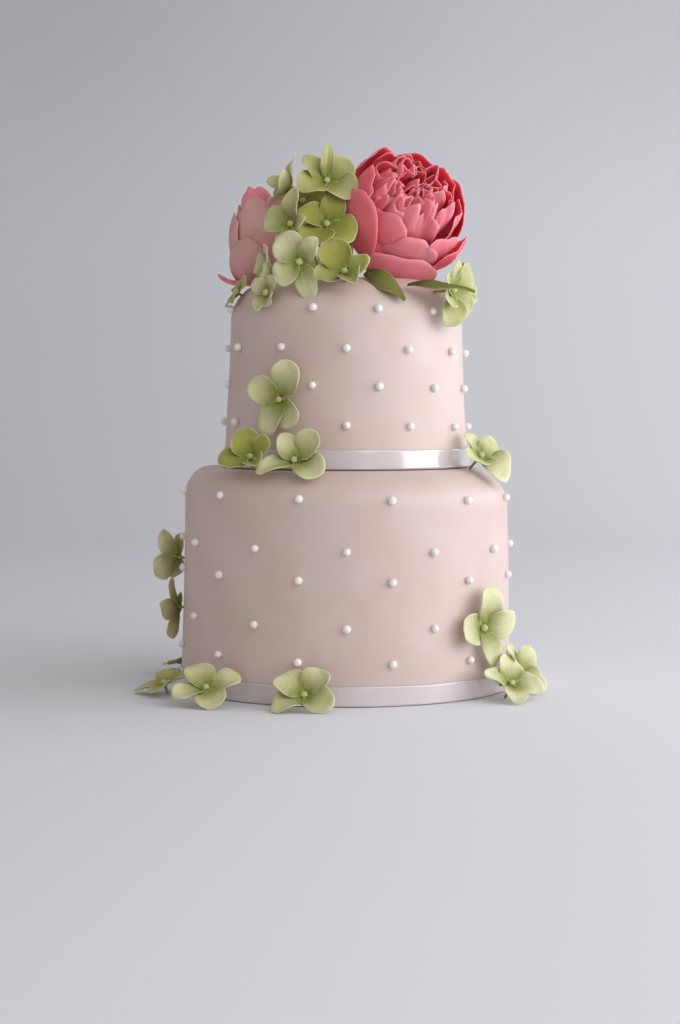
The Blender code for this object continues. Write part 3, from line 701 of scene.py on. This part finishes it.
def icing_solid(tier, unevenness):
    """A tier turned from its profile, its side and top as uneven as a smoother leaves them."""
    base, top, _, neck_radius, shoulder = tier
    flat = neck_radius - shoulder
    profile = [(flat * share, top) for share in np.linspace(0.06, 0.97, 14)]
    for share in np.linspace(0, 1, 18):
        turn = math.pi / 2 * (1 - share)
        height = top - shoulder + shoulder * math.sin(turn)
        profile.append((flat + shoulder * math.cos(turn), height))
    for share in np.linspace(0.02, 0.99, 44):
        height = (top - shoulder) + (base - top + shoulder) * share
        profile.append((side_radius(tier, height)[0], height))
    foot = side_radius(tier, base)[0]
    profile += [(foot - 0.3 * MM, base + 0.2 * MM), (foot - 1.2 * MM, base)]
    profile += [(foot * share, base) for share in (0.8, 0.5, 0.2)]
    radius, height = np.array(profile).T[:, :, None]
    turn = np.linspace(-math.pi, math.pi, ICING_STEPS, endpoint=False)[None, :]
    waves = (
        np.sin(2 * turn + 1.0) + 0.7 * np.sin(3 * turn + 38 * height)
        + 0.5 * np.sin(7 * turn - 55 * height + 2.0) + 0.3 * np.sin(13 * turn + 90 * height)
    )
    free = smooth(base + RIBBON_WIDTH, base + 3 * RIBBON_WIDTH, height)
    outside = smooth(0.5 * flat, flat, radius)
    rings = radius + unevenness * waves * free * outside
    x = rings * np.sin(turn)
    rise = shoulder_lean(tier, x, rings) * smooth(base + LEAN_FROM, top - shoulder, height)
    dimple = unevenness * waves * (1 - outside) * smooth(base, top, height)
    rows = np.stack((x, -rings * np.cos(turn), height + rise + dimple), axis=-1)
    return wrapped_solid(rows, (0, 0, top), (0, 0, base))


def pearl_places(name):
    """Where the icing carries each of a tier's pearls that no flower covers, and the way out."""
    tier = TIERS[name]
    flowers = [
        (around(azimuth, radius * MM, height * MM), size)
        for azimuth, radius, height, _, _, _, size, *_ in BLOSSOMS.values()
    ]
    pitch = 360 // PEARLS_IN_ROW
    for row, row_height in enumerate(PEARL_ROWS[name]):
        for i in range(PEARLS_IN_ROW):
            azimuth = i * pitch + (pitch // 2 if row % 2 == 0 else 0)
            azimuth = azimuth - 360 if azimuth > 180 else azimuth
            if (name, row, azimuth) in HIDDEN_PEARLS:
                continue
            if azimuth < 0:
                azimuth += PEARL_DRIFT * math.sin(math.radians(azimuth))
            level = around(azimuth, tier[2], row_height)
            height = row_height - ROW_SLOPE * level.x
            lean = float(shoulder_lean(tier, level.x, tier[3])) if row == 0 else 0.0
            radius, rise = side_radius(tier, height - lean)
            place = around(azimuth, radius, height)
            if min((place - centre).length / size for centre, size in flowers) > FLOWER_CLEARANCE:
                yield place, facing(azimuth, math.degrees(rise))


class CAKE_OT_ice_tiers(bpy.types.Operator):
    """Cover both tiers with rolled icing"""
    bl_idname = "cake.ice_tiers"
    bl_label = "Ice the Tiers"

    def execute(self, context):
        settings = context.scene.cake.icing
        material = icing_material(settings)
        for name, tier in TIERS.items():
            piece = Piece()
            piece.add(icing_solid(tier, settings.unevenness))
            piece.finish(f"icing_{name}", [material], "icing", f"tier_{name}")
        return {"FINISHED"}


class CAKE_OT_stud_pearls(bpy.types.Operator):
    """Stud both tiers with rows of pearls"""
    bl_idname = "cake.stud_pearls"
    bl_label = "Stud with Pearls"

    def execute(self, context):
        settings = context.scene.cake.icing
        material = pearl_material(settings)
        rng = np.random.default_rng(settings.seed)
        for name in TIERS:
            piece = Piece()
            for place, turned in pearl_places(name):
                radius = settings.pearl_radius * rng.uniform(0.93, 1.06)
                centre = place + turned.col[2] * (radius - PEARL_SINK)
                pearl = ball((0, 0, 0), radius, squash=rng.uniform(0.9, 1.0))
                piece.add(placed(pearl, turned, centre))
            piece.finish(f"pearls_{name}", [material], "icing", f"tier_{name}")
        return {"FINISHED"}


# The ribbons

def ribbon_solid(tier):
    """A band once round the tier, its end lapped over its start at the back."""
    azimuth = np.radians(np.linspace(RIBBON_END - 360 - RIBBON_LAP, RIBBON_END, 420))[None, :]
    share = np.linspace(0, 1, 13)[:, None]
    height = tier[0] + RIBBON_FOOT + RIBBON_WIDTH * share
    icing = np.array([side_radius(tier, z)[0] for z in height[:, 0]])[:, None]
    rise, lapped = (math.radians(RIBBON_END - part * RIBBON_LAP) for part in (1.6, 1.0))
    buckle = RIBBON_BUCKLE * np.sin(17 * azimuth + 2 * share) * (0.4 + (2 * share - 1) ** 2)
    radius = icing + RIBBON_GAP + RIBBON_THICKNESS / 2 + buckle
    radius += smooth(rise, lapped, azimuth) * (2 * RIBBON_THICKNESS + RIBBON_LAP_GAP)
    wander = RIBBON_WANDER * (np.sin(5 * azimuth + 1.0) + np.sin(11 * azimuth) / 1.5)
    points = np.stack((
        radius * np.sin(azimuth), -radius * np.cos(azimuth),
        height + wander * smooth(0, 1, share) + 0 * azimuth,
    ), axis=-1)
    thickness = np.full(points.shape[:2], RIBBON_THICKNESS)
    places = sheet_places(tier[2] * azimuth, RIBBON_WIDTH * share, 0)
    return sheet_solid(points, thickness), *places


class CAKE_OT_wind_ribbons(bpy.types.Operator):
    """Wind a satin ribbon round the foot of each tier"""
    bl_idname = "cake.wind_ribbons"
    bl_label = "Wind the Ribbons"

    def execute(self, context):
        material = satin_material(context.scene.cake.ribbon)
        for name, tier in TIERS.items():
            piece = Piece()
            piece.add(*ribbon_solid(tier))
            piece.finish(f"satin_{name}", [material], "satin", f"ribbon_{name}")
        return {"FINISHED"}


# The blossoms

def near_icing(point):
    """Whether a point has reached the icing or what the cake stands on."""
    radius = math.hypot(point.x, point.y)
    if point.z < STEM_GROUND:
        return True
    for tier in TIERS.values():
        if tier[0] <= point.z < tier[1]:
            return radius < side_radius(tier, point.z)[0]
    return False


def stem_length(centre, back):
    """How far a straight stem runs back from a blossom's centre to the icing."""
    length = CALYX_LENGTH
    while not near_icing(centre + back * length):
        length += STEM_STEP
    return length


def lobe(axis, lift, along, across, height):
    """Points of a blossom's sheet, raised by height off the petal's own face."""
    beyond = np.maximum(along - PETAL_HINGE, 0.0)
    tilt = lift * np.minimum(beyond / PETAL_HINGE, 1.0)
    height = height + PETAL_CUP * (across / PETAL_HALF_WIDTH) ** 2
    height = height - PETAL_CURL * (along / PETAL) ** 3
    x = along - beyond * (1 - math.cos(lift)) - height * np.sin(tilt)
    z = beyond * math.sin(lift) + height * np.cos(tilt)
    turn = math.radians(axis)
    return np.stack((
        x * math.cos(turn) - across * math.sin(turn),
        x * math.sin(turn) + across * math.cos(turn), z,
    ), axis=-1)


def blossom_petal(rng, thickness, turn, length, width, lift, fold=0.0):
    """One lobe as a veined sheet, with the uneven edge of thinned sugar paste."""
    length *= PETAL * rng.uniform(0.97, 1.05)
    phase = rng.uniform(0, 2 * math.pi, 4)
    lean = np.linspace(-1, 1, BLOSSOM_COLUMNS)[None, :]
    notch = 0.05 * np.sin(5 * lean + phase[3]) + rng.uniform(-0.06, 0.06) * lean
    along, across, edge = petal_fan(
        BLOSSOM_ROWS, BLOSSOM_COLUMNS, *BLOSSOM_FAN, rng.uniform(0.0, 0.12), notch
    )
    across = across * 0.86 * width
    t, s = along, across / np.abs(across).max()
    free = 1 - smooth(0.0, 0.3, edge)
    ruffle = free * (
        0.7 * np.sin(5 * t + 2.2 * s + phase[0]) + 0.5 * np.sin(9 * t - 4 * s + phase[1])
    )
    rib = -0.3 * np.exp(-((s / 0.13) ** 2)) * (1 - t)
    veins = 0.07 * np.cos(10 * np.arctan2(across, along) / 0.5 + phase[2]) * smooth(0.2, 0.5, t)
    deepened = rng.uniform(-0.6, 0.5) * s**2 * t + rng.uniform(-0.9, 0.9) * s * t
    curl = rng.uniform(-0.6, 1.2) * smooth(0.7, 1.0, t)
    height = (ruffle + rib + veins + deepened + curl) * MM
    across = across * length
    height = height + (fold * np.abs(across) + PETAL_TWIST * across) * smooth(0.1, 0.5, t)
    points = lobe(turn, math.radians(lift), along * length, across, height)
    edge = edge * length
    sheet = thickness * (0.4 + 0.6 * smooth(0.0, 2.5 * MM, edge))
    return sheet_solid(points, sheet), (s, t, edge)


def stalk(stem_end):
    """A calyx behind the petals, narrowing into a stem."""
    end = np.array(stem_end)
    start = np.array((0, 0, -0.2 * MM))
    turn = np.linspace(0, 2 * math.pi, 12, endpoint=False)[None, :]
    circle = np.stack((np.cos(turn), np.sin(turn), 0 * turn), axis=-1)
    rows = []
    for share, radius in STALK_RADII:
        middle = start + (end - start) * share
        rows.append(circle[0] * radius * MM + middle)
    return wrapped_solid(np.array(rows), start, end)


def make_blossom(name, place, settings, materials, rng):
    """One blossom: its petals, the button in their middle, and the calyx and stem behind."""
    azimuth, radius, height, face_azimuth, face_elevation, spin, size, green, lifts, *foot = place
    centre = around(azimuth, radius * MM, height * MM)
    turned = facing(face_azimuth, face_elevation, spin)
    if foot:
        stem_end = turned.transposed() @ (Vector(*foot) * MM - centre)
    else:
        stem_end = Vector((0, 0, -stem_length(centre, -turned.col[2])))
    plain = [(45 + 90 * k, 1.0, 1.0, lift) for k, lift in enumerate(lifts)]
    piece = Piece()
    for turn, length, *shape in SHAPES.get(name, plain):
        petal, spots = blossom_petal(rng, settings.thickness, turn, size * length, *shape)
        # The green level is the blossom's own colour, and for the two blossoms on the shaded left
        # side partly painted light.
        tone = green + rng.uniform(-0.12, 0.12)
        piece.add(placed(petal, turned, centre), *sheet_places(*spots, tone, tone))
    button = ball((0, 0, BUTTON_HEIGHT), settings.button * rng.uniform(0.92, 1.08), squash=0.9)
    piece.add(placed(button, turned, centre), slot=1)
    piece.add(placed(stalk(stem_end), turned, centre), slot=2)
    piece.finish(f"blossom_{name}_sugar", materials, "green_sugar", f"blossom_{name}")


class CAKE_OT_make_blossoms(bpy.types.Operator):
    """Place the light green blossoms"""
    bl_idname = "cake.make_blossoms"
    bl_label = "Make the Blossoms"

    def execute(self, context):
        settings = context.scene.cake.blossom
        button = [0.5 * (a + b) for a, b in zip(settings.leafy, settings.body)]
        materials = [
            petal_material(
                "blossom_petal", settings.deep, settings.body, settings.leafy, settings.rim,
                deep_reach=0.8, rim_amount=0.5, veins=11.0, vein_amount=0.14,
            ),
            petal_material("blossom_button", *[button] * 4, vein_amount=0.0),
            petal_material("blossom_stem", *[settings.leafy] * 4, vein_amount=0.0),
        ]
        rng = np.random.default_rng(settings.seed)
        for name, place in BLOSSOMS.items():
            make_blossom(name, place, settings, materials, rng)
        return {"FINISHED"}


# The peonies

def peony_petal(turn, base, belly, tip, width, frill, teeth, thickness, rng):
    """One petal round the flower's Z axis, along a middle line of base, belly and tip."""
    columns = FRILLED_COLUMNS if frill > 0.9 else PEONY_COLUMNS
    phase = rng.uniform(0, 2 * math.pi, 6)
    s = np.linspace(-1, 1, columns)[None, :]
    scallop = (1 - np.abs(np.cos((3.2 + 1.6 * frill) * s + phase[0]))) ** 1.5
    notch = teeth * (scallop + 0.5 * np.sin(3.1 * s + phase[1]) + 0.15 * np.sin(19 * s + phase[2]))
    along, across, edge = petal_fan(PEONY_ROWS, columns, *PEONY_FAN, notch=notch)
    s = across / np.abs(across).max()
    base, belly, tip = (np.array(point) * MM for point in (base, belly, tip))
    radius, height = (
        (1 - along) ** 2 * base[k] + 2 * along * (1 - along) * belly[k] + along**2 * tip[k]
        for k in (0, 1)
    )
    radius = radius + PEONY_TUCK * s
    half = width * MM / 2
    swing = math.radians(turn) + s * half / np.maximum(radius, half)
    points = np.stack((radius * np.cos(swing), radius * np.sin(swing), height), axis=-1)
    high = smooth(0.45, 1.0, along)
    free = 1 - smooth(0.0, 0.3, edge)
    wave = frill * high * (np.sin((3.4 + frill) * s + phase[3]) + 0.5 * np.sin(9.5 * s + phase[4]))
    crimp = (0.12 + 0.1 * frill) * free * high * np.sin(26 * s + phase[5] + 2 * along)
    curl = rng.uniform(-0.9, 0.7) * frill * smooth(0.7, 1.0, along)
    points = points + sheet_normal(points) * ((wave + crimp + curl) * MM)[..., None]
    length = np.linalg.norm(belly - base) * 0.7 + np.linalg.norm(tip - belly) * 0.7
    edge = edge * length
    sheet = thickness * (0.3 + 0.7 * smooth(0.0, 5 * MM, edge))
    return sheet_solid(points, sheet), (s, along, edge)


def ring_petals(rings, rng):
    """The petals of ruffled rings, each a little off its place."""
    for count, first, base, belly, tip, width, frill, teeth, outer, inner in rings:
        for i in range(count):
            turn = first + 360 * (i + rng.uniform(-0.15, 0.15)) / count
            shifted = (max(tip[0] + rng.uniform(-3, 3), 2.0), tip[1] + rng.uniform(-3, 2))
            yield (
                turn, base, belly, shifted, width * rng.uniform(0.85, 1.15),
                frill * rng.uniform(0.7, 1.3), teeth * rng.uniform(0.6, 1.4), outer, inner,
            )


def make_peony(name, flower, petals, rings, material, slot, thickness, rng):
    """One peony: a core that closes the gaps, and the petals round it."""
    centre, face = flower
    turned = facing(*face)
    middle = Vector(centre) * MM
    piece = Piece()
    core = ball((0, 0, -PEONY_CORE_DROP), PEONY_CORE, 32, 20)
    piece.add(placed(core, turned, middle), tone=1.0)
    for *shape, outer, inner in (*petals, *ring_petals(rings, rng)):
        petal, spots = peony_petal(*shape, thickness, rng)
        piece.add(placed(petal, turned, middle), *sheet_places(*spots, outer, inner))
    piece.finish(f"{name}_sugar", [material], slot, name)


class CAKE_OT_make_peonies(bpy.types.Operator):
    """Place the coral peony and the pale one"""
    bl_idname = "cake.make_peonies"
    bl_label = "Make the Peonies"

    def execute(self, context):
        settings = context.scene.cake.peony
        # The rim colour on both peonies is partly painted light: a glow for light shining through
        # the thin petal edges.
        coral = petal_material(
            "coral_petal", settings.deep, settings.body, settings.red, settings.rim, glow=0.4,
            deep_reach=0.65, rim_width=1.1 * MM, rim_amount=0.55, veins=16.0, vein_amount=0.06,
        )
        pale = petal_material(
            "pale_petal", settings.body, settings.pale_body, settings.body, settings.rim, glow=0.3,
            deep_reach=0.5, rim_amount=0.3, veins=14.0, vein_amount=0.06,
        )
        rng = np.random.default_rng(settings.seed)
        for flower in (
            ("peony_large", LARGE_PEONY, LARGE_PETALS, LARGE_RINGS, coral, "coral_sugar"),
            ("peony_pale", PALE_PEONY, PALE_PETALS, PALE_RINGS, pale, "pink_sugar"),
        ):
            make_peony(*flower, settings.thickness, rng)
        return {"FINISHED"}


# The leaves

def leaf_solid(leaf, thickness):
    """A blade along a curve through three points, arched across and waved at its edges."""
    base, middle, tip, width, roll = leaf
    base, middle, tip = (Vector(point) * MM for point in (base, middle, tip))
    rows, columns = 34, 15
    points = np.zeros((rows, columns, 3))
    s = np.linspace(-1, 1, columns)
    for i, t in enumerate(np.linspace(0, 1, rows)):
        spine = base * (1 - t) ** 2 + middle * 2 * t * (1 - t) + tip * t * t
        run = ((middle - base) * (1 - t) + (tip - middle) * t).normalized()
        side = run.cross(Vector((0, 0, 1))).normalized()
        side = Matrix.Rotation(math.radians(roll[0] * (1 - t) + roll[1] * t), 3, run) @ side
        half = width / 2 * (0.2 + 0.8 * math.sin(math.pi * min(0.12 + 0.83 * t, 1.0)))
        half *= math.sqrt(max(1 - t**6, 0.02))
        wave = LEAF_WAVE * (np.abs(s) * np.sin(9 * t + s) - s**2)
        wave -= LEAF_RIB * np.exp(-((s / 0.12) ** 2))
        points[i] = np.array(spine) + np.outer(s * half, side) + np.outer(wave, side.cross(run))
    sheet = np.broadcast_to(thickness * (1 - 0.6 * s**4), (rows, columns))
    t = np.linspace(0, 1, rows)[:, None]
    return sheet_solid(points, sheet), *sheet_places(s, t, width / 2 * (1 - np.abs(s)))


class CAKE_OT_make_leaves(bpy.types.Operator):
    """Place the olive leaves"""
    bl_idname = "cake.make_leaves"
    bl_label = "Make the Leaves"

    def execute(self, context):
        settings = context.scene.cake.leaf
        material = petal_material(
            "olive_leaf", settings.deep, settings.body, settings.body, settings.rim,
            rim_amount=0.5, veins=9.0, vein_amount=0.3,
        )
        for name, leaf in LEAVES.items():
            piece = Piece()
            piece.add(*leaf_solid(leaf, settings.thickness))
            piece.finish(f"leaf_{name}_sugar", [material], "leaf_sugar", f"leaf_{name}")
        return {"FINISHED"}


# The stage

def add_light(name, place, size, energy, colour):
    """A soft square light."""
    light = bpy.data.lights.new(name, "AREA")
    light.shape = "SQUARE"
    light.size, light.energy, light.color = size, energy, colour
    obj = bpy.data.objects.new(name, light)
    obj.location = place
    obj.rotation_euler = (Vector(place) - Vector(LIGHTS_AIM)).to_track_quat("Z", "Y").to_euler()
    bpy.context.scene.collection.objects.link(obj)


def backdrop_mesh():
    """A floor that curves up behind the cake into a plain wall."""
    front, back, bend, top, half = -3.0, 1.2, 1.4, 4.0, 4.0
    rows = [(front, 0.0), (back, 0.0)]
    rows += [
        (back + bend * math.sin(a), bend - bend * math.cos(a))
        for a in np.radians(np.linspace(5, 90, 18))
    ]
    rows.append((back + bend, top))
    vertices = [(x, y, z) for y, z in rows for x in (-half, half)]
    faces = [(2 * i, 2 * i + 1, 2 * i + 3, 2 * i + 2) for i in range(len(rows) - 1)]
    mesh = bpy.data.meshes.new("floor")
    mesh.from_pydata(vertices, [], faces)
    mesh.shade_smooth()
    return mesh


def floor_material(settings):
    """A plain floor and wall with painted shade: darker towards the left and high up, lighter to
    the right where the window light falls.
    """
    material, tree, shader = new_material("plain_floor", 0.75)
    spot = add_node(tree, "TexCoord").outputs["Object"]
    tone = [c * 0.98 for c in settings.floor]
    colour = blend(tree, noise(tree, spot, 2.0), rgba(settings.floor), rgba(tone))
    x, _, z = add_node(tree, "SeparateXYZ", {0: spot}).outputs
    # Painted shade: these factors darken the floor and wall towards the left and high up, and
    # lighten them to the right.
    painted_side_shade, upwards = ramp(tree, x, -0.6, 0.5, 0.92, 1.13), ramp(tree, z, 0.4, 1.0, 1.0, 0.84)
    colour = blend(tree, 1.0, colour, reckon(tree, "MULTIPLY", painted_side_shade, upwards), "MULTIPLY")
    tree.links.new(colour, shader.inputs["Base Color"])
    return material


class CAKE_OT_set_stage(bpy.types.Operator):
    """Set the floor, the soft light and the camera"""
    bl_idname = "cake.set_stage"
    bl_label = "Set the Stage"

    def execute(self, context):
        scene = context.scene
        settings = scene.cake.stage
        floor = bpy.data.objects.new("floor", backdrop_mesh())
        floor.data.materials.append(floor_material(settings))
        scene.collection.objects.link(floor)
        camera = bpy.data.cameras.new("camera")
        camera.lens, camera.sensor_width = settings.lens, 36.0
        obj = bpy.data.objects.new("camera", camera)
        obj.location = (settings.aside, -settings.distance, settings.height)
        obj.rotation_euler = (math.pi / 2 - settings.pitch, 0, 0)
        scene.collection.objects.link(obj)
        scene.camera = obj
        for name, light in LIGHTS.items():
            add_light(name, *light)
        world = bpy.data.worlds.new("room")
        world.use_nodes = True
        background = world.node_tree.nodes["Background"]
        background.inputs["Color"].default_value = rgba(AMBIENT)
        background.inputs["Strength"].default_value = settings.ambient
        scene.world = world
        scene.view_settings.view_transform = "Standard"
        return {"FINISHED"}


# The add-on

class CAKE_PT_panel(bpy.types.Panel):
    """Lists the cake's settings and steps"""
    bl_label = "Wedding Cake"
    bl_idname = "CAKE_PT_panel"
    bl_space_type = "VIEW_3D"
    bl_region_type = "UI"
    bl_category = "Cake"

    def draw(self, context):
        for group in ("icing", "ribbon", "blossom", "peony", "leaf", "stage"):
            settings = getattr(context.scene.cake, group)
            box = self.layout.box()
            box.label(text=group.title())
            for key in settings.bl_rna.properties.keys():
                if key not in ("rna_type", "name"):
                    box.prop(settings, key)
        for step in STEPS:
            self.layout.operator(step.bl_idname)


STEPS = (
    CAKE_OT_set_stage, CAKE_OT_ice_tiers, CAKE_OT_stud_pearls, CAKE_OT_wind_ribbons,
    CAKE_OT_make_blossoms, CAKE_OT_make_peonies, CAKE_OT_make_leaves,
)
CLASSES = (
    IcingSettings, RibbonSettings, BlossomSettings, PeonySettings, LeafSettings,
    StageSettings, CakeSettings, *STEPS, CAKE_PT_panel,
)


def register():
    for cls in CLASSES:
        bpy.utils.register_class(cls)
    bpy.types.Scene.cake = PointerProperty(type=CakeSettings)


def unregister():
    del bpy.types.Scene.cake
    for cls in reversed(CLASSES):
        bpy.utils.unregister_class(cls)


def main():
    """Builds the cake with the panel's steps."""
    register()
    bpy.ops.cake.set_stage()
    bpy.ops.cake.ice_tiers()
    bpy.ops.cake.stud_pearls()
    bpy.ops.cake.wind_ribbons()
    bpy.ops.cake.make_blossoms()
    bpy.ops.cake.make_peonies()
    bpy.ops.cake.make_leaves()


if __name__ == "__main__":
    main()
